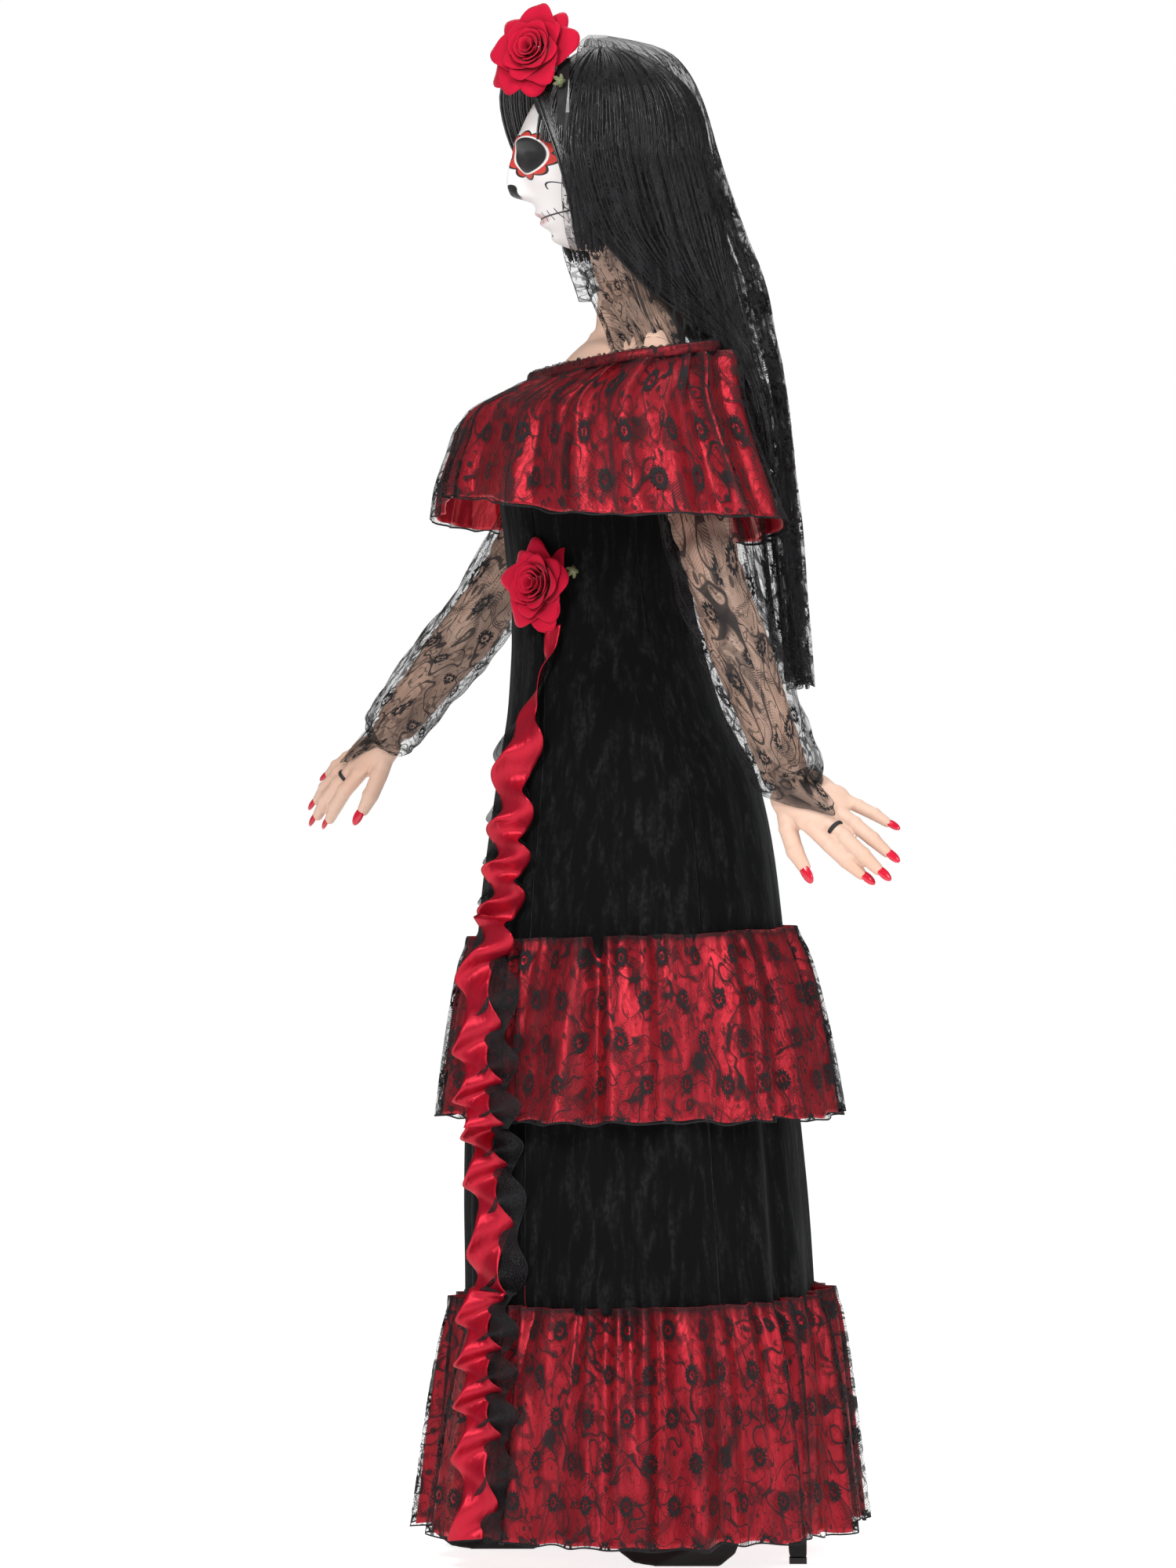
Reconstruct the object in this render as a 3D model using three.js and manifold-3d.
// A life-size catrina display figure: hollow papier-mache head, bust, hips, arms, hands and legs on a
// wooden and steel armature, dressed in a flounced velvet dress, a wig, a rose headband and a lace veil.
// Millimetres, +Z up. The figure faces -X and stands on its shoes, its own left side is towards -Y.
import * as THREE from "three";
import { mergeVertices } from "three/addons/utils/BufferGeometryUtils.js";
import Module from "manifold-3d";

const wasm = await Module();
wasm.setup();

// ---- Driving dimensions ----
const PAPER = 5; // wall of the papier-mache shells
const CLOTH = 2.4; // modelled thickness of velvet and satin
const LACE = 1.4; // modelled thickness of lace
const GAP = 0.6; // between pieces that touch or slide
const LAYER = 1.0; // air between two layers of cloth

const HEEL_HEIGHT = 118; // floor to heel seat
const PLATFORM = 26; // sole thickness under the ball of the foot
const BALL_TO_HEEL = 118; // along the floor
const TOE_REACH = 92; // ball to toe tip
const SHOE_WIDTH = 78; // across the ball
const SEAT = 10; // sole thickness under the heel
const HEEL_TIP = 20; // side of the square top piece
const STEP = { left: 67, right: -149 }; // where each ball stands, fore and aft
const STANCE = 95; // each foot to the middle plane

const ANKLE_RISE = 72; // heel seat to ankle
const LEG_RISE = 770; // ankle to hip board
const WAIST_RISE = 160; // hip board to waist joint
const SHOULDER_RISE = 275; // waist joint to shoulder pins
const NECK_RISE = 105; // shoulder pins to the neck joint
const CHIN_RISE = 38; // neck joint to the chin
const HEAD_HEIGHT = 222; // chin to crown

const SHOULDER_HALF = 136; // middle plane to the shoulder joint face
const SHOULDER_X = { left: 16, right: -30 }; // the shoulders are turned a little
const SHOULDER_R = 43;
const WRIST_R = 25;
const PIN_R = 8;
const NECK_PEG_R = 11;
const ROD_R = 8;
const THIGH_R = 74;
const ANKLE_R = 37;

const HEM_CLEARANCE = 45; // floor to the lowest flounce
const HEM_FLOUNCE = 258; // height of the lowest flounce
const MID_FLOUNCE = 206;
const MID_FLOUNCE_TOP = 730; // floor to its seam
const SEAM_LAP = 16; // how far a flounce laps over the velvet at its seam
const FLOUNCE_FLARE = 46; // how much further out a flounce stands at its hem
const BERTHA_DROP = 166; // height of the shoulder flounce
const FRILL_WIDTH = 46;
const ROSE_R = 46;
const LOCK_LENGTH = 104; // front locks of the wig, from the cap down

const ROUND = 22; // sides of a skirt
const LIMB_SIDES = 10;
const DRESS_POWER = 2.2; // 2 is an ellipse, more is squarer

// ---- Levels that follow from them ----
const ankleZ = HEEL_HEIGHT + ANKLE_RISE;
const hipZ = ankleZ + LEG_RISE;
const waistZ = hipZ + WAIST_RISE;
const shoulderZ = waistZ + SHOULDER_RISE;
const neckZ = shoulderZ + NECK_RISE;
const chinZ = neckZ + CHIN_RISE;
const crownZ = chinZ + HEAD_HEIGHT;
const hemSeamZ = HEM_CLEARANCE + HEM_FLOUNCE;

const figure = new THREE.Group();
figure.name = "catrina";

const finish = (color, roughness, metalness = 0) => ({ color, roughness, metalness });
const FINISH = {
  skin: finish(0xd9ae96, 0.55),
  facePaint: finish(0xf1ece8, 0.6),
  wood: finish(0xb48a5a, 0.7),
  steel: finish(0x8d9196, 0.35, 1),
  velvet: finish(0x0a0a0b, 0.9),
  satin: finish(0xa3142a, 0.3),
  lace: finish(0x121014, 0.8),
  hair: finish(0x0c0c0d, 0.35),
  rose: finish(0xb80a2a, 0.8),
  leaf: finish(0x6f7a48, 0.7),
  shoe: finish(0x101011, 0.85),
  rubber: finish(0x1b1b1b, 0.8),
};

function addMesh(name, geometry, look, parent = figure) {
  const mesh = new THREE.Mesh(geometry, new THREE.MeshStandardMaterial(FINISH[look]));
  mesh.name = name;
  parent.add(mesh);
  return mesh;
}

// ---- Solids ----
function bare(geometry) {
  const plain = geometry.clone();
  plain.deleteAttribute("normal");
  plain.deleteAttribute("uv");
  return mergeVertices(plain, 1e-4);
}

function solid(geometry) {
  const merged = bare(geometry);
  const made = new wasm.Manifold(
    new wasm.Mesh({
      numProp: 3,
      vertProperties: new Float32Array(merged.attributes.position.array),
      triVerts: new Uint32Array(merged.index.array),
    }),
  );
  if (made.volume() < 0) {
    throw new Error("a shape is inside out");
  }
  return made;
}

function shape(body) {
  const mesh = body.getMesh();
  const geometry = new THREE.BufferGeometry();
  geometry.setAttribute("position", new THREE.BufferAttribute(new Float32Array(mesh.vertProperties), 3));
  geometry.setIndex(new THREE.BufferAttribute(new Uint32Array(mesh.triVerts), 1));
  geometry.computeVertexNormals();
  return geometry;
}

const join = (first, ...rest) => rest.reduce((body, other) => body.add(other), first);
const cut = (first, ...rest) => rest.reduce((body, other) => body.subtract(other), first);

// Turns a shape that a warp or a mirror has left inside out.
function facing(geometry) {
  const at = geometry.attributes.position;
  const index = geometry.index;
  let volume = 0;
  const [a, b, c] = [vec(), vec(), vec()];
  for (let i = 0; i < index.count; i += 3) {
    a.fromBufferAttribute(at, index.getX(i));
    b.fromBufferAttribute(at, index.getX(i + 1));
    c.fromBufferAttribute(at, index.getX(i + 2));
    volume += a.dot(b.cross(c));
  }
  if (volume < 0) {
    for (let i = 0; i < index.count; i += 3) {
      const first = index.getX(i);
      index.setX(i, index.getX(i + 1));
      index.setX(i + 1, first);
    }
  }
  return geometry;
}

// Moves every vertex of a geometry to place(vertex).
function warp(geometry, place) {
  const made = bare(geometry);
  const at = made.attributes.position;
  const point = new THREE.Vector3();
  for (let i = 0; i < at.count; i++) {
    point.fromBufferAttribute(at, i);
    const moved = place(point);
    at.setXYZ(i, moved.x, moved.y, moved.z);
  }
  return facing(made);
}

function box(low, high) {
  const size = new THREE.Vector3().subVectors(high, low);
  const made = new THREE.BoxGeometry(size.x, size.y, size.z);
  return made.translate((low.x + high.x) / 2, (low.y + high.y) / 2, (low.z + high.z) / 2);
}

const vec = (x, y, z) => new THREE.Vector3(x, y, z);

// A round bar from one point to another.
function bar(from, to, radius, sides = 12, radiusEnd = radius) {
  const along = new THREE.Vector3().subVectors(to, from);
  const made = new THREE.CylinderGeometry(radiusEnd, radius, along.length(), sides);
  made.applyQuaternion(new THREE.Quaternion().setFromUnitVectors(vec(0, 1, 0), along.clone().normalize()));
  return made.translate((from.x + to.x) / 2, (from.y + to.y) / 2, (from.z + to.z) / 2);
}

function ball(centre, rx, ry, rz, sides = 12) {
  return new THREE.SphereGeometry(1, sides, Math.round(sides * 0.6)).scale(rx, ry, rz)
    .translate(centre.x, centre.y, centre.z);
}

// Everything past a plane through a point.
function past(point, direction, reach = 400) {
  const half = new THREE.BoxGeometry(reach, reach, reach);
  half.translate(0, 0, reach / 2);
  half.applyQuaternion(new THREE.Quaternion().setFromUnitVectors(vec(0, 0, 1), direction));
  return solid(half.translate(point.x, point.y, point.z));
}

// ---- Stations: horizontal sections, each a rounded oval {z, x, a, b} that may be sheared by Y ----
function oval(station, angle, power, shear, grow = 0) {
  const c = Math.cos(angle);
  const s = Math.sin(angle);
  const y = (station.b + grow) * Math.sign(s) * Math.abs(s) ** (2 / power);
  const x = station.x + (station.a + grow) * Math.sign(c) * Math.abs(c) ** (2 / power) - shear * y;
  return vec(x, y, station.z);
}

// The station at any height, between the given ones.
function stationAt(stations, z) {
  let i = 1;
  while (i < stations.length - 1 && stations[i].z < z) {
    i += 1;
  }
  const low = stations[i - 1];
  const high = stations[i];
  const t = (z - low.z) / (high.z - low.z);
  const mix = (key) => low[key] + (high[key] - low[key]) * t;
  return { z, x: mix("x"), a: mix("a"), b: mix("b") };
}

// A closed solid through stations from the lowest to the highest.
function lofted(stations, { power = 2, shear = 0, grow = 0, extend = 0, sides = ROUND } = {}) {
  const last = stations.length - 1;
  return warp(new THREE.CylinderGeometry(1, 1, 1, sides, last), (p) => {
    const i = Math.round((p.y + 0.5) * last);
    const station = { ...stations[i] };
    station.z += i === 0 ? -extend : i === last ? extend : 0;
    if (Math.hypot(p.x, p.z) < 0.5) {
      return vec(station.x, 0, station.z);
    }
    return oval(station, Math.atan2(-p.z, p.x), power, shear, grow);
  });
}

// A wall that follows stations, open at both ends.
function sleeveOf(stations, wall, options = {}) {
  const grow = options.grow ?? 0;
  const outer = solid(lofted(stations, options));
  const inner = solid(lofted(stations, { ...options, grow: grow - wall, extend: 4 }));
  return cut(outer, inner);
}

// A curved panel of a wall that follows stations, between two angles.
function panel(stations, from, to, wall, { power = 2, shear = 0, grow = 0, across = 6 } = {}) {
  const last = stations.length - 1;
  return warp(new THREE.BoxGeometry(1, 1, 1, across, last, 1), (p) => {
    const station = stations[Math.round((p.y + 0.5) * last)];
    const angle = from + (to - from) * (p.x + 0.5);
    return oval(station, angle, power, shear, grow + (p.z > 0 ? 0 : -wall));
  });
}

// A limb: a round section of changing radius along a smooth curve.
function limb(points, radii, { grow = 0, from = 0, to = 1, sides = LIMB_SIDES, steps = 9 } = {}) {
  const curve = new THREE.CatmullRomCurve3(points, false, "centripetal");
  const side = vec(1, 0, 0);
  return warp(new THREE.CylinderGeometry(1, 1, 1, sides, steps), (p) => {
    const past = from + (to - from) * (p.y + 0.5);
    const t = Math.min(1, Math.max(0, past));
    const tangent = curve.getTangent(t);
    const centre = curve.getPoint(t).addScaledVector(tangent, (past - t) * curve.getLength());
    const spread = t * (radii.length - 1);
    const i = Math.min(radii.length - 2, Math.floor(spread));
    const radius = radii[i] + (radii[i + 1] - radii[i]) * (spread - i) + grow;
    const second = new THREE.Vector3().crossVectors(tangent, side).normalize();
    const first = new THREE.Vector3().crossVectors(second, tangent).normalize();
    return centre.addScaledVector(first, p.x * radius).addScaledVector(second, p.z * radius);
  });
}

// ---- Body sections ----
const BUST = [
  { z: waistZ + 1, x: -45, a: 88, b: 116 },
  { z: waistZ + 80, x: -48, a: 96, b: 124 },
  { z: shoulderZ - 105, x: -46, a: 110, b: SHOULDER_HALF - 6 },
  { z: shoulderZ - 45, x: -26, a: 96, b: SHOULDER_HALF - 4 },
  { z: shoulderZ, x: -10, a: 78, b: SHOULDER_HALF - 2 },
  { z: shoulderZ + 30, x: -2, a: 66, b: SHOULDER_HALF - 8 },
  { z: shoulderZ + 48, x: 0, a: 58, b: SHOULDER_HALF - 30 },
  { z: shoulderZ + 64, x: 1, a: 52, b: 84 },
  { z: shoulderZ + 80, x: 1, a: 48, b: 58 },
  { z: neckZ - GAP, x: -1, a: 46, b: 48 },
];
const HIPS = [
  { z: hipZ - 30, x: -10, a: 102, b: 158 },
  { z: hipZ, x: -12, a: 107, b: 164 },
  { z: hipZ + 80, x: -26, a: 99, b: 140 },
  { z: waistZ, x: -45, a: 88, b: 116 },
];
const HEAD = [
  { z: chinZ, x: -72, a: 52, b: 34 },
  { z: chinZ + 16, x: -67, a: 67, b: 48 },
  { z: chinZ + 42, x: -60, a: 79, b: 58 },
  { z: chinZ + 72, x: -55, a: 88, b: 66 },
  { z: chinZ + 112, x: -51, a: 94, b: 73 },
  { z: chinZ + 150, x: -48, a: 96, b: 76 },
  { z: chinZ + 184, x: -47, a: 88, b: 70 },
  { z: chinZ + 208, x: -47, a: 64, b: 52 },
  { z: crownZ, x: -47, a: 28, b: 24 },
];
const NECK_X = -2;

// The head's own surface, grown outwards all round, from a height upwards.
function headForm(grow, sides = 18) {
  const middle = chinZ + 112;
  const stations = HEAD.map((s) => {
    const lift = s.z > middle ? (s.z - middle) / (crownZ - middle) : (s.z - middle) / (middle - chinZ);
    return { ...s, z: s.z + grow * lift, a: s.a + grow, b: s.b + grow };
  });
  return solid(lofted(stations, { sides }));
}

// ---- The dress: body sections plus ease ----
const EASE = 14; // at the bust and waist
const HEM_HALF_DEPTH = 206; // velvet at the lowest seam
const HEM_HALF_WIDTH = 290;
const HIP_HALF_DEPTH = 156;
const HIP_HALF_WIDTH = 184;
const BODICE_TOP = shoulderZ - 82;
const bustTop = stationAt(BUST, BODICE_TOP);
const DRESS = [
  { z: hemSeamZ, x: 3, a: HEM_HALF_DEPTH, b: HEM_HALF_WIDTH },
  { z: (hemSeamZ + MID_FLOUNCE_TOP) / 2, x: -5, a: (HEM_HALF_DEPTH + HIP_HALF_DEPTH + 30) / 2, b: 262 },
  { z: MID_FLOUNCE_TOP, x: -8, a: HIP_HALF_DEPTH + 26, b: HIP_HALF_WIDTH + 42 },
  { z: hipZ - 50, x: -12, a: HIP_HALF_DEPTH, b: HIP_HALF_WIDTH },
  { z: hipZ + 40, x: -28, a: HIPS[2].a + EASE * 2, b: HIPS[2].b + EASE * 1.6 },
  { z: waistZ - 10, x: -41, a: BUST[0].a + EASE * 1.6, b: BUST[0].b + EASE },
  { z: waistZ + 80, x: -50, a: BUST[1].a + EASE, b: BUST[1].b + EASE },
  { z: shoulderZ - 105, x: BUST[2].x, a: BUST[2].a + EASE, b: BUST[2].b + EASE },
  { z: BODICE_TOP, x: bustTop.x, a: bustTop.a + EASE, b: bustTop.b + EASE * 0.7 },
];

// A flounce hangs from the dress at its seam and flares to its hem.
function flounce(topZ, height, flare) {
  const seam = stationAt(DRESS, Math.max(topZ, DRESS[0].z));
  const rise = (z, share) => ({
    z,
    x: seam.x + 4 * share,
    a: seam.a + LAYER + CLOTH + flare * share,
    b: seam.b + LAYER + CLOTH + flare * share * 1.25,
  });
  const lapped = stationAt(DRESS, topZ + SEAM_LAP);
  return [
    rise(topZ - height, 1),
    rise(topZ - height * 0.55, 0.72),
    rise(topZ - height * 0.2, 0.42),
    rise(topZ, 0.14),
    { z: topZ + SEAM_LAP, x: lapped.x, a: lapped.a + LAYER + CLOTH, b: lapped.b + LAYER + CLOTH },
  ];
}
const MID_STATIONS = flounce(MID_FLOUNCE_TOP, MID_FLOUNCE, FLOUNCE_FLARE);
const HEM_STATIONS = flounce(hemSeamZ, HEM_FLOUNCE, FLOUNCE_FLARE);

const BERTHA_TOP = shoulderZ - 8;
const BERTHA_POWER = 2.4;
const SHOULDER_SHEAR = (SHOULDER_X.left - SHOULDER_X.right) / (2 * SHOULDER_HALF);
const BERTHA = [
  { z: BERTHA_TOP - BERTHA_DROP, x: -37, a: 197, b: SHOULDER_HALF + 202 },
  { z: BERTHA_TOP - BERTHA_DROP * 0.76, x: -43, a: 187, b: SHOULDER_HALF + 182 },
  { z: BERTHA_TOP - BERTHA_DROP * 0.52, x: -45, a: 172, b: SHOULDER_HALF + 160 },
  { z: BERTHA_TOP - BERTHA_DROP * 0.25, x: -44, a: 156, b: SHOULDER_HALF + 132 },
  { z: BERTHA_TOP - BERTHA_DROP * 0.06, x: -20, a: 124, b: SHOULDER_HALF + 98 },
  { z: BERTHA_TOP, x: -12, a: 104, b: SHOULDER_HALF + 86 },
];

// ---- Armature ----
function armature() {
  const boardStation = stationAt(HIPS, hipZ);
  const board = [
    { ...boardStation, z: hipZ - 18, a: boardStation.a - PAPER - 4, b: boardStation.b - PAPER - 4 },
    { ...boardStation, z: hipZ, a: boardStation.a - PAPER - 4, b: boardStation.b - PAPER - 4 },
  ];
  addMesh("hip_board", lofted(board, { sides: 20 }), "wood");
  const postHalf = 19;
  const postX = -16;
  const yokeHalfHeight = 28;
  const yokeLow = shoulderZ - yokeHalfHeight;
  addMesh(
    "spine_post",
    box(vec(postX - postHalf, -postHalf, hipZ + GAP), vec(postX + postHalf, postHalf, yokeLow - GAP)),
    "wood",
  );
  const turned = new THREE.Group();
  turned.position.set((SHOULDER_X.left + SHOULDER_X.right) / 2, 0, shoulderZ);
  turned.rotation.z = Math.atan(SHOULDER_SHEAR);
  figure.add(turned);
  const yokeHalf = SHOULDER_HALF - 22;
  addMesh("shoulder_yoke", box(vec(-16, -yokeHalf, -yokeHalfHeight), vec(16, yokeHalf, yokeHalfHeight)),
    "wood", turned);
  addMesh(
    "neck_peg",
    bar(vec(NECK_X, 0, shoulderZ + yokeHalfHeight + GAP), vec(NECK_X, 0, neckZ + 70), NECK_PEG_R),
    "wood",
  );
  for (const [side, s] of [["left", -1], ["right", 1]]) {
    const x = SHOULDER_X[side];
    addMesh(
      `${side}_shoulder_pin`,
      bar(vec(x, s * (SHOULDER_HALF - 18), shoulderZ), vec(x, s * (SHOULDER_HALF + 26), shoulderZ), PIN_R),
      "steel",
    );
  }
}

// ---- Trunk ----
function trunk() {
  const holes = [];
  const stubs = [];
  const hollows = [];
  for (const [side, s] of [["left", -1], ["right", 1]]) {
    const x = SHOULDER_X[side];
    const face = s * (SHOULDER_HALF - GAP);
    stubs.push(solid(bar(vec(x, s * 70, shoulderZ), vec(x, face, shoulderZ), SHOULDER_R, 14)));
    hollows.push(
      solid(bar(vec(x, s * 60, shoulderZ), vec(x, face - s * PAPER, shoulderZ), SHOULDER_R - PAPER, 14)),
    );
    holes.push(solid(bar(vec(x, s * 100, shoulderZ), vec(x, s * 200, shoulderZ), PIN_R + GAP, 10)));
  }
  const outer = join(solid(lofted(BUST, { power: 2.2, sides: 18 })), ...stubs);
  const inner = join(solid(lofted(BUST, { power: 2.2, grow: -PAPER, extend: 4, sides: 18 })), ...hollows);
  addMesh("bust_shell", shape(cut(outer, inner, ...holes)), "skin");
  addMesh("hip_shell", shape(sleeveOf(HIPS, PAPER, { power: 2.2, sides: 20 })), "skin");

  const collar = solid(bar(vec(NECK_X + 4, 0, neckZ - 20), vec(NECK_X - 14, 0, chinZ + 60), 47, 16, 50));
  const neck = cut(collar, past(vec(0, 0, neckZ), vec(0, 0, -1)));
  const cavity = cut(headForm(-PAPER - 3), solid(box(vec(-400, -200, 0), vec(400, 200, chinZ + 30))));
  const bore = solid(bar(vec(NECK_X, 0, neckZ - 10), vec(NECK_X, 0, chinZ + 100), NECK_PEG_R + GAP));
  addMesh("head_shell", shape(cut(join(headForm(0), neck), cavity, bore)), "facePaint");
}

// ---- Legs, feet and shoes ----
// A side profile [x, z], extruded across and drawn in to the plan width at each x.
function fromProfile(outline, width) {
  const drawn = new THREE.Shape(outline.map(([x, z]) => new THREE.Vector2(x, z)));
  const made = new THREE.ExtrudeGeometry(drawn, { depth: 1, steps: 1, bevelEnabled: false });
  return warp(made, (p) => vec(p.x, (0.5 - p.z) * width(p.x), p.y));
}

function shoeWidth(x) {
  const toe = Math.sqrt(Math.max(0.16, 1 - ((x + 20) / (TOE_REACH - 14)) ** 2));
  const back = Math.min(1, Math.max(0, x / BALL_TO_HEEL));
  return x < -20 ? SHOE_WIDTH * toe : SHOE_WIDTH * (1 - 0.28 * back);
}

function legAndShoe(side, s) {
  const group = new THREE.Group();
  group.position.set(STEP[side], s * STANCE, 0);
  figure.add(group);
  const seat = HEEL_HEIGHT;
  const arch = BALL_TO_HEEL * 0.62;
  const heelBack = BALL_TO_HEEL + 22;
  const footing = 3; // how far the toe springs from the floor
  const footbed = (lift, toe, back) => [
    [-TOE_REACH + toe, PLATFORM + lift], [10, PLATFORM + lift], [34, PLATFORM + 8 + lift],
    [arch - 6, seat - 24 + lift], [heelBack - 46, seat + lift], [heelBack - back, seat + lift],
  ];
  const sole = [
    ...footbed(0, 2, 0).reverse(), [-TOE_REACH, PLATFORM * 0.6], [-TOE_REACH * 0.8, footing],
    [-TOE_REACH * 0.55, 0], [26, 0], [44, PLATFORM * 0.55], [arch - 4, seat - 38],
    [heelBack - 52, seat - SEAT], [heelBack, seat - SEAT],
  ];
  addMesh(`${side}_shoe_sole`, fromProfile(sole, shoeWidth), "shoe", group);
  const tip = 7; // thickness of the top piece
  const heelTop = seat - SEAT - GAP;
  const heel = warp(new THREE.BoxGeometry(1, 1, 1, 1, 3, 1), (p) => {
    const up = p.y + 0.5;
    const half = HEEL_TIP / 2 + 13 * up * up;
    return vec(BALL_TO_HEEL - 4 * up + p.x * 2 * half, -p.z * 2 * half * 0.95, tip + GAP + up * (heelTop - tip - GAP));
  });
  addMesh(`${side}_shoe_heel`, heel, "shoe", group);
  const halfTip = HEEL_TIP / 2;
  addMesh(
    `${side}_heel_tip`,
    box(vec(BALL_TO_HEEL - halfTip, -halfTip, 0), vec(BALL_TO_HEEL + halfTip, halfTip, tip)),
    "rubber",
    group,
  );
  // the foot form and the upper stretched over it
  const form = (grow, lift) => fromProfile(
    [
      ...footbed(lift, 12 - grow, 8 - grow), [heelBack - 6 + grow, seat + ANKLE_RISE - 16],
      [heelBack - 46 - grow, seat + ANKLE_RISE - 16], [10 - grow, PLATFORM + 62 + grow],
      [-TOE_REACH * 0.6, PLATFORM + 34 + grow], [-TOE_REACH + 12 - grow, PLATFORM + 14 + grow],
    ],
    (x) => shoeWidth(x) - 14 + 4 * grow,
  );
  const foot = solid(form(0, 5));
  addMesh(`${side}_foot`, shape(foot), "skin", group);
  const covered = cut(solid(form(3.2, 1)), solid(form(GAP, 5 - GAP)));
  const opening = [
    [-38, PLATFORM + 22], [8, PLATFORM + 26], [arch - 30, seat - 30], [arch + 10, seat + 20],
    [heelBack - 30, seat + 30], [heelBack - 22, seat + 46], [heelBack - 22, 400], [-38, 400],
  ];
  const throat = solid(fromProfile(opening, () => 2 * SHOE_WIDTH));
  addMesh(`${side}_shoe_upper`, shape(cut(covered, throat)), "shoe", group);

  const ankle = vec(STEP[side] + BALL_TO_HEEL - 20, s * STANCE, ankleZ);
  const hip = vec(-10, s * (THIGH_R + 6), hipZ - 32);
  const knee = ankle.clone().lerp(hip, 0.5).add(vec(-8, 0, 0));
  const radii = [ANKLE_R, 52, 49, 62, THIGH_R];
  const outer = limb([ankle, knee, hip], radii, { steps: 7 });
  const inner = limb([ankle, knee, hip], radii, { steps: 7, grow: -PAPER, from: -0.02, to: 1.02 });
  const level = solid(box(vec(-500, -500, hipZ - 30 - GAP), vec(500, 500, hipZ + 300)));
  const below = solid(box(vec(-500, -500, 0), vec(500, 500, seat + ANKLE_RISE - 16 + GAP)));
  addMesh(`${side}_leg_shell`, shape(cut(solid(outer), solid(inner), level, below)), "skin");
  addMesh(
    `${side}_leg_rod`,
    bar(vec(ankle.x, ankle.y, ankleZ - 15), vec(hip.x, hip.y, hipZ - 22 - GAP), ROD_R),
    "steel",
  );
}

// ---- Arms and hands ----
const ARM = {
  left: { elbow: vec(96, -294, -283), wrist: vec(162, -390, -473), tips: vec(95, -66, -110), back: vec(0.2, -1, 0.35) },
  right: { elbow: vec(-178, 294, -262), wrist: vec(-297, 390, -413), tips: vec(-121, 60, -112), back: vec(-0.35, -0.55, 0.75) },
};

function armLine(side, s) {
  const x = SHOULDER_X[side];
  const elbow = ARM[side].elbow.clone().add(vec(0, 0, shoulderZ));
  const wrist = ARM[side].wrist.clone().add(vec(0, 0, shoulderZ));
  const socket = vec(x, s * (SHOULDER_HALF - 8), shoulderZ);
  const cap = vec(x + (elbow.x - x) * 0.04, s * (SHOULDER_HALF + 24), shoulderZ - 14);
  const upper = cap.clone().lerp(elbow, 0.38).add(vec(0, s * 10, 0));
  return { points: [socket, cap, upper, elbow, elbow.clone().lerp(wrist, 0.5), wrist], wrist, elbow };
}
const ARM_RADII = [SHOULDER_R, SHOULDER_R + 3, 42, 36, 33, WRIST_R];

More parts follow.
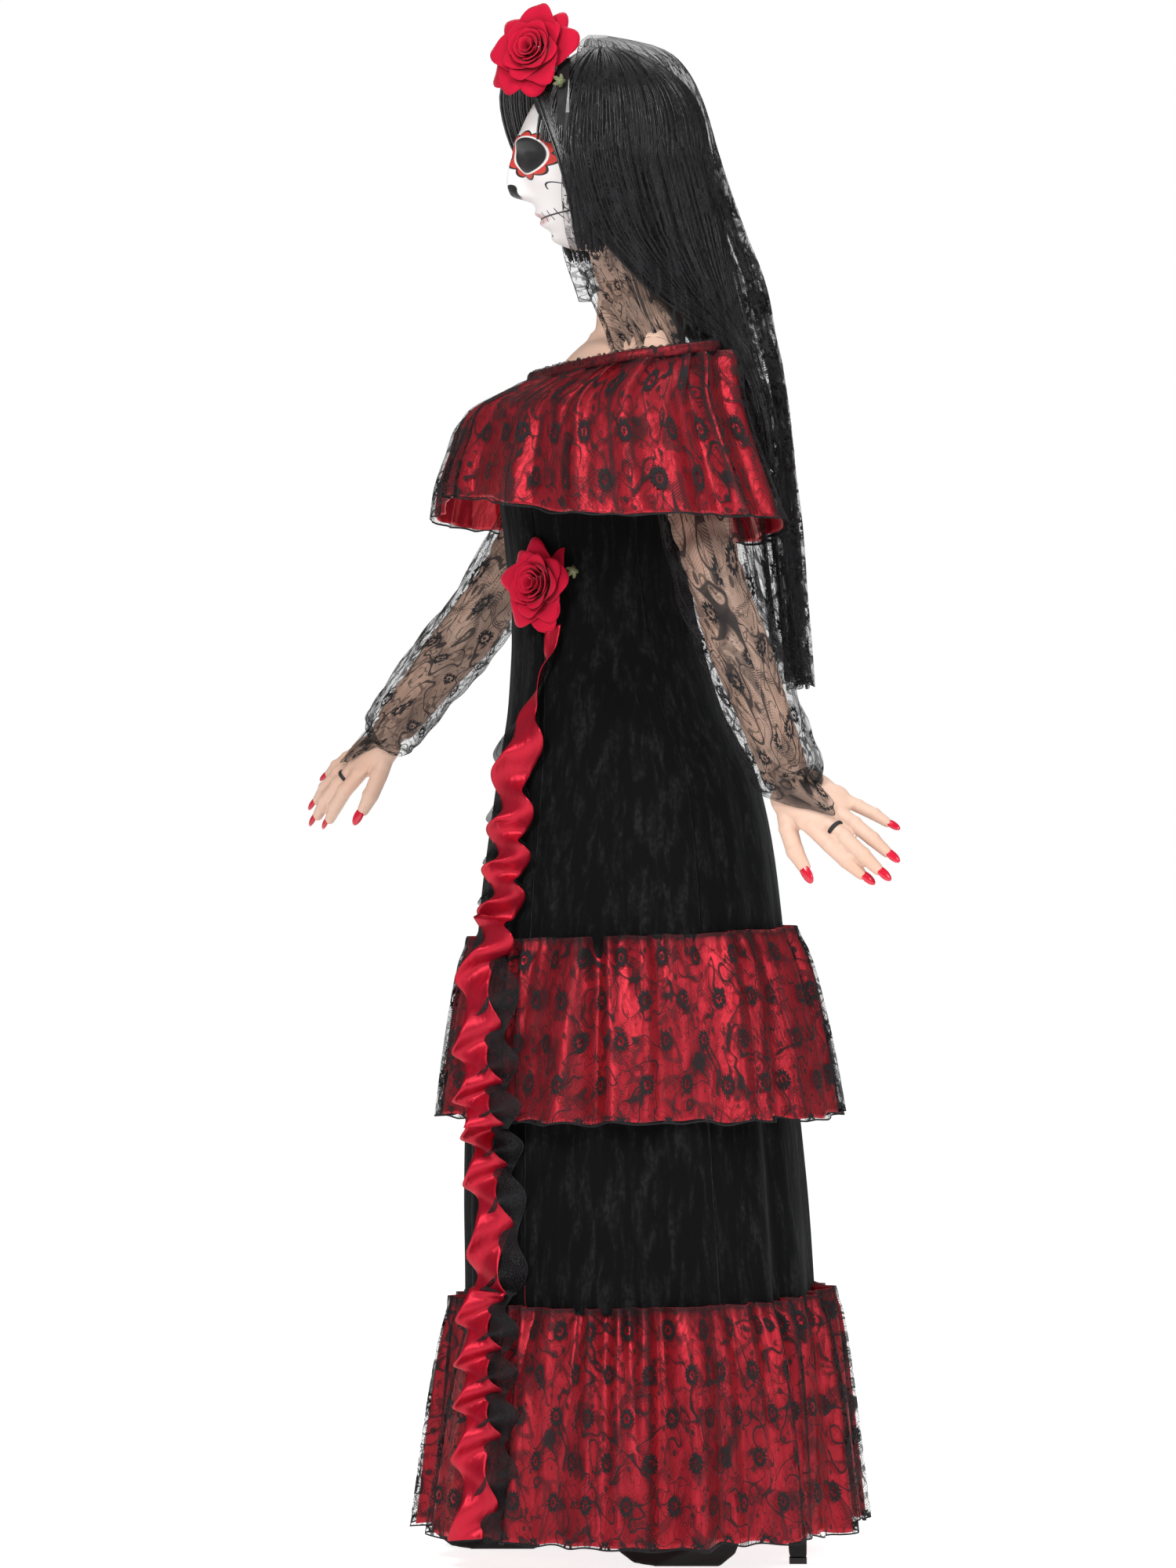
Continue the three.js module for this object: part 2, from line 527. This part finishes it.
function arm(side, s) {
  const { points, wrist, elbow } = armLine(side, s);
  const outer = solid(limb(points, ARM_RADII));
  const inner = solid(limb(points, ARM_RADII, { grow: -PAPER, from: 0.1, to: 0.965 }));
  const inward = s < 0 ? [-SHOULDER_HALF, 400] : [-400, SHOULDER_HALF];
  const trunkSide = solid(box(vec(-400, inward[0], 0), vec(400, inward[1], 3000)));
  const x = SHOULDER_X[side];
  const pinHole = solid(bar(vec(x, 0, shoulderZ), vec(x, s * (SHOULDER_HALF + 40), shoulderZ), PIN_R + GAP));
  const forearm = wrist.clone().sub(elbow).normalize();
  const pegFrom = wrist.clone().addScaledVector(forearm, -40);
  const pegTo = wrist.clone().addScaledVector(forearm, 22);
  const pegHole = solid(bar(pegFrom, wrist.clone().addScaledVector(forearm, 30), PIN_R + GAP, 10));
  const open = solid(bar(pegFrom.clone().addScaledVector(forearm, -20), pegTo, PIN_R + GAP, 10));
  const ended = past(wrist, forearm);
  addMesh(`${side}_arm_shell`, shape(cut(outer, inner, trunkSide, pinHole, open, ended)), "skin");
  addMesh(`${side}_wrist_peg`, bar(pegFrom, pegTo, PIN_R, 10), "wood");

  const sleeveRadii = [SHOULDER_R + 8, SHOULDER_R + 9, 52, 46, 43, 41];
  const sleeve = cut(
    solid(limb(points, sleeveRadii, { from: 0.33, to: 0.985, grow: LACE, steps: 6 })),
    solid(limb(points, sleeveRadii, { from: 0.32, to: 1.0, steps: 6 })),
  );
  addMesh(`${side}_sleeve`, shape(sleeve), "lace");

  // hand frame: along the fingers, towards the thumb, out of the back of the hand
  const along = ARM[side].tips.clone().normalize();
  const back = ARM[side].back.clone();
  back.addScaledVector(along, -back.dot(along)).normalize();
  const thumbward = new THREE.Vector3().crossVectors(along, back).multiplyScalar(-s);
  const root = wrist.clone().addScaledVector(forearm, 14);
  const at = (x1, y1, z1) =>
    root.clone().addScaledVector(along, x1).addScaledVector(thumbward, y1).addScaledVector(back, z1);
  const basis = new THREE.Matrix4().makeBasis(along, thumbward, back);
  if (basis.determinant() < 0) {
    basis.makeBasis(along, thumbward.clone().negate(), back);
  }
  const lump = (x1, y1, z1, rx, ry, rz) => {
    const made = new THREE.SphereGeometry(1, 9, 6).scale(rx, ry, rz).applyMatrix4(basis);
    const centre = at(x1, y1, z1);
    return solid(made.translate(centre.x, centre.y, centre.z));
  };
  const pieces = [lump(42, 2, 0, 52, 38, 14), lump(20, 0, 0, 34, 27, 17)];
  pieces.push(solid(bar(wrist.clone().addScaledVector(forearm, -10), at(18, 0, 0), WRIST_R - 1, 12)));
  for (const finger of FINGERS) {
    const [base, knuckle, tip] = finger.joints.map(([a, b, c]) => at(a, b, c));
    const bend = knuckle.clone().lerp(tip, 0.45).addScaledVector(back, 1.5);
    pieces.push(solid(limb([base, knuckle, bend, tip], [1, 1, 0.92, 0.5].map((k) => k * finger.r), { sides: 6, steps: 3 })));
  }
  addMesh(`${side}_hand`, shape(cut(join(...pieces), pegHole, past(wrist.clone().addScaledVector(forearm, GAP), forearm.clone().negate()))), "skin");
  const middle = FINGERS[1];
  const a0 = at(...middle.joints[0]);
  const a1 = at(...middle.joints[1]);
  const ringAt = a0.clone().lerp(a1, 0.66);
  const ringRing = new THREE.TorusGeometry(middle.r + 1.6, 0.9, 4, 10);
  ringRing.applyQuaternion(
    new THREE.Quaternion().setFromUnitVectors(vec(0, 0, 1), a1.clone().sub(a0).normalize()),
  );
  addMesh(`${side}_finger_loop`, ringRing.translate(ringAt.x, ringAt.y, ringAt.z), "lace");
}
// index, middle, ring, little finger and thumb: joints in the hand frame
const FINGERS = [
  { joints: [[72, 26, 0], [124, 31, -6], [164, 33, -18]], r: 8.4 },
  { joints: [[74, 8, 0], [130, 10, -4], [174, 11, -15]], r: 8.6 },
  { joints: [[72, -11, 0], [124, -13, -5], [165, -15, -16]], r: 8.2 },
  { joints: [[66, -28, 0], [108, -36, -4], [142, -42, -12]], r: 7.2 },
  { joints: [[26, 26, -6], [62, 52, -16], [92, 62, -22]], r: 9.6 },
];

// ---- Wig, headband, rose and veil ----
const WIG = 12; // depth of hair over the head
const BAND = 3;

function wig() {
  const hairline = -112; // the wig's front edge
  const cap = cut(
    headForm(WIG),
    headForm(GAP),
    solid(box(vec(-400, -200, 0), vec(400, 200, chinZ + 92))),
    solid(box(vec(-400, -200, 0), vec(hairline, 200, chinZ + 176))),
  );
  addMesh("wig_cap", shape(cap), "hair");
  const headBack = HEAD[4].x + HEAD[4].a;
  const overBertha = (z) => {
    const under = stationAt(BERTHA, z);
    return under.x + under.a + LAYER + LACE + 3;
  };
  const fall = [
    { z: shoulderZ - 105, near: overBertha(shoulderZ - 105), far: 158, half: 74, shear: SHOULDER_SHEAR },
    { z: shoulderZ - 50, near: overBertha(shoulderZ - 50), far: 150, half: 82, shear: SHOULDER_SHEAR },
    { z: shoulderZ + 6, near: overBertha(BERTHA_TOP - 10), far: 136, half: 86, shear: SHOULDER_SHEAR },
    { z: shoulderZ + 85, near: 72, far: 124, half: 82, shear: 0 },
    { z: chinZ + 20, near: headBack + WIG + 2, far: 108, half: 74, shear: 0 },
    { z: chinZ + 90, near: headBack + WIG + 2, far: 92, half: 66, shear: 0 },
  ];
  const last = fall.length - 1;
  addMesh(
    "wig_back_fall",
    warp(new THREE.BoxGeometry(1, 1, 1, 4, last, 1), (p) => {
      const f = fall[Math.round((p.y + 0.5) * last)];
      const y = -2 * p.x * f.half;
      const bow = 16 * (2 * p.x) ** 2;
      return vec((p.z > 0 ? f.far - bow : f.near) + f.shear * y, -y, f.z);
    }),
    "hair",
  );
  for (const [side, s] of [["left", -1], ["right", 1]]) {
    const top = chinZ + 88;
    addMesh(
      `${side}_front_lock`,
      warp(new THREE.BoxGeometry(1, 1, 1, 3, 4, 1), (p) => {
        const down = 0.5 - p.y;
        const z = top - down * LOCK_LENGTH;
        const x = -100 + 42 * (p.x + 0.5) + 4 * down;
        const near = HEAD[4].b + 7 - 4 * down + (p.z > 0 ? 7 : 0);
        return vec(x, s * near, z);
      }),
      "hair",
    );
  }
}

const ROSE_AT = vec(-124, -56, crownZ + 8);

function headpiece() {
  const strip = cut(
    headForm(WIG + GAP + BAND),
    headForm(WIG + GAP),
    solid(box(vec(-400, -200, 0), vec(400, 200, chinZ + 100))),
    solid(box(vec(-400, -200, 0), vec(-96, 200, 3000))),
    solid(box(vec(-82, -200, 0), vec(400, 200, 3000))),
  );
  addMesh("headband", shape(strip), "lace");
  const clear = headForm(WIG + BAND + 3 * GAP);
  const lobes = (p) => {
    const turn = Math.atan2(p.z, p.y);
    const swell = 1 + 0.1 * Math.cos(5 * turn);
    return vec(p.x * 0.8, p.y * swell, p.z * swell);
  };
  const bloom = warp(new THREE.SphereGeometry(ROSE_R, 16, 10), lobes);
  bloom.rotateZ(0.5).translate(ROSE_AT.x, ROSE_AT.y, ROSE_AT.z);
  addMesh("head_rose", shape(cut(solid(bloom), clear)), "rose");
  const calyxR = 8;
  const calyxZ = chinZ + 192;
  const calyxY = stationAt(HEAD, calyxZ).b + WIG + BAND + calyxR;
  addMesh("head_rose_calyx", ball(vec(-93, -calyxY, calyxZ), calyxR, calyxR, calyxR, 10), "leaf");

  const rows = [
    { z: crownZ - 742, x: 118, a: 95, b: 178, turn: 58, power: 3.2, shear: SHOULDER_SHEAR },
    { z: crownZ - 631, x: 106, a: 93, b: 190, turn: 64, power: 3.2, shear: SHOULDER_SHEAR },
    { z: crownZ - 520, x: 92, a: 91, b: 198, turn: 68, power: 3.2, shear: SHOULDER_SHEAR },
    { z: crownZ - 418, x: 82, a: 90, b: 196, turn: 70, power: 3.2, shear: SHOULDER_SHEAR },
    { z: crownZ - 322, x: 44, a: 112, b: 172, turn: 76, power: 3 },
    { z: crownZ - 262, x: 8, a: 137, b: 146, turn: 84, power: 2.8 },
    { z: crownZ - 205, x: -26, a: 154, b: 128, turn: 93, power: 2.6 },
    { z: crownZ - 112, x: -42, a: 152, b: 116, turn: 98, power: 2.5 },
    { z: crownZ - 38, x: -46, a: 132, b: 104, turn: 102, power: 2.4 },
    { z: crownZ + 2, x: -50, a: 100, b: 80, turn: 104, power: 2.2 },
    { z: crownZ + 21, x: -52, a: 60, b: 48, turn: 100, power: 2 },
    { z: crownZ + 27, x: -52, a: 24, b: 20, turn: 90, power: 2 },
  ];
  const last = rows.length - 1;
  const veil = warp(new THREE.BoxGeometry(1, 1, 1, 12, last, 1), (p) => {
    const row = rows[Math.round((p.y + 0.5) * last)];
    const angle = THREE.MathUtils.degToRad(row.turn) * 2 * p.x;
    const grow = p.z > 0 ? 0 : -3;
    const made = oval(row, angle, row.power, row.shear ?? 0, grow);
    made.z += row.z > crownZ ? grow : 0;
    return made;
  });
  addMesh("veil", veil, "lace");
}

// ---- Dress ----
const SEAMS = [0, 66, 130, 230, 294, 360];
const PANELS = ["right_back_panel", "right_side_panel", "front_panel", "left_side_panel", "left_back_panel"];

function dress() {
  const crack = 0.22; // degrees between two panels
  PANELS.forEach((name, i) => {
    const from = THREE.MathUtils.degToRad(SEAMS[i] + crack);
    const to = THREE.MathUtils.degToRad(SEAMS[i + 1] - crack);
    const across = i === 2 ? 8 : 5;
    addMesh(`dress_${name}`, panel(DRESS, from, to, CLOTH, { power: DRESS_POWER, across }), "velvet");
  });
  const tier = (name, stations, options = {}) => {
    addMesh(`${name}_satin`, shape(sleeveOf(stations, CLOTH, options)), "satin");
    const raised = stations.map((s, i) => (i === 0 ? { ...s, z: s.z + 10 } : s));
    const grow = LAYER + LACE;
    addMesh(`${name}_lace`, shape(sleeveOf(raised, LACE, { ...options, grow })), "lace");
  };
  tier("middle_flounce", MID_STATIONS, { power: DRESS_POWER });
  tier("hem_flounce", HEM_STATIONS, { power: DRESS_POWER });
  tier("shoulder_flounce", BERTHA, { power: BERTHA_POWER, shear: SHOULDER_SHEAR });
  const top = BERTHA[BERTHA.length - 1];
  const elastic = [{ ...top, z: top.z + GAP }, { ...top, z: top.z + 12 }];
  addMesh(
    "neckline_elastic",
    shape(sleeveOf(elastic, CLOTH + 1, { power: BERTHA_POWER, shear: SHOULDER_SHEAR })),
    "lace",
  );
}

// The outermost cloth at a height, below the waist.
function skirtStation(z) {
  const found = [stationAt(DRESS, Math.max(z, hemSeamZ))];
  const reach = 45; // a strip leaves a flounce this far past its edge
  for (const tier of [MID_STATIONS, HEM_STATIONS]) {
    const top = tier[tier.length - 1].z;
    if (z >= tier[0].z - reach && z <= top + reach) {
      found.push(stationAt(tier, Math.min(top, Math.max(tier[0].z, z))));
    }
  }
  const x = found[found.length - 1].x;
  return { z, x, a: Math.max(...found.map((s) => s.a)), b: Math.max(...found.map((s) => s.b)) };
}

function trimming() {
  const roseZ = waistZ + 22;
  const roseAngle = THREE.MathUtils.degToRad(232);
  const dressSolid = solid(lofted(DRESS, { power: DRESS_POWER, grow: LAYER + CLOTH }));
  const station = stationAt(DRESS, roseZ);
  const centre = oval(station, roseAngle, DRESS_POWER, 0, ROSE_R * 0.34);
  const bloom = ball(vec(0, 0, 0), ROSE_R * 0.55, ROSE_R, ROSE_R, 14).rotateZ(roseAngle);
  bloom.translate(centre.x, centre.y, centre.z);
  addMesh("waist_rose", shape(cut(solid(bloom), dressSolid)), "rose");
  const leafAt = oval(station, roseAngle + 0.42, DRESS_POWER, 0, 12);
  addMesh("waist_rose_calyx", ball(vec(leafAt.x, leafAt.y, roseZ + 14), 9, 9, 9, 10), "leaf");

  const topZ = roseZ - ROSE_R - 8;
  const lowZ = HEM_CLEARANCE + 4;
  const steps = 26;
  const strip = (name, off, wall, width, look) => {
    const made = warp(new THREE.BoxGeometry(1, 1, 1, 2, steps, 1), (p) => {
      const z = lowZ + (topZ - lowZ) * (p.y + 0.5);
      const around = skirtStation(z);
      const turned = 232 - 10 * Math.min(1, (topZ - z) / 500);
      const angle = THREE.MathUtils.degToRad(turned);
      const beside = (p.x * width) / Math.hypot(around.a * Math.sin(angle), around.b * Math.cos(angle));
      return oval({ ...around, z }, angle + beside, DRESS_POWER, 0, off + (p.z > 0 ? wall : 0));
    });
    addMesh(name, made, look);
  };
  strip("side_frill_lace", 2 * LAYER + LACE + 3, LACE, FRILL_WIDTH + 12, "lace");
  strip("side_frill_satin", 3 * LAYER + 2 * LACE + 5, CLOTH * 2, FRILL_WIDTH, "satin");
}

armature();
trunk();
legAndShoe("left", -1);
legAndShoe("right", 1);
arm("left", -1);
arm("right", 1);
wig();
headpiece();
dress();
trimming();

// The origin is on the floor, under the middle of the whole figure.
const extent = new THREE.Box3().setFromObject(figure, true);
const middle = extent.getCenter(vec());
figure.position.set(-middle.x, -middle.y, -extent.min.z);
const catrina = new THREE.Group();
catrina.add(figure);

export default catrina;
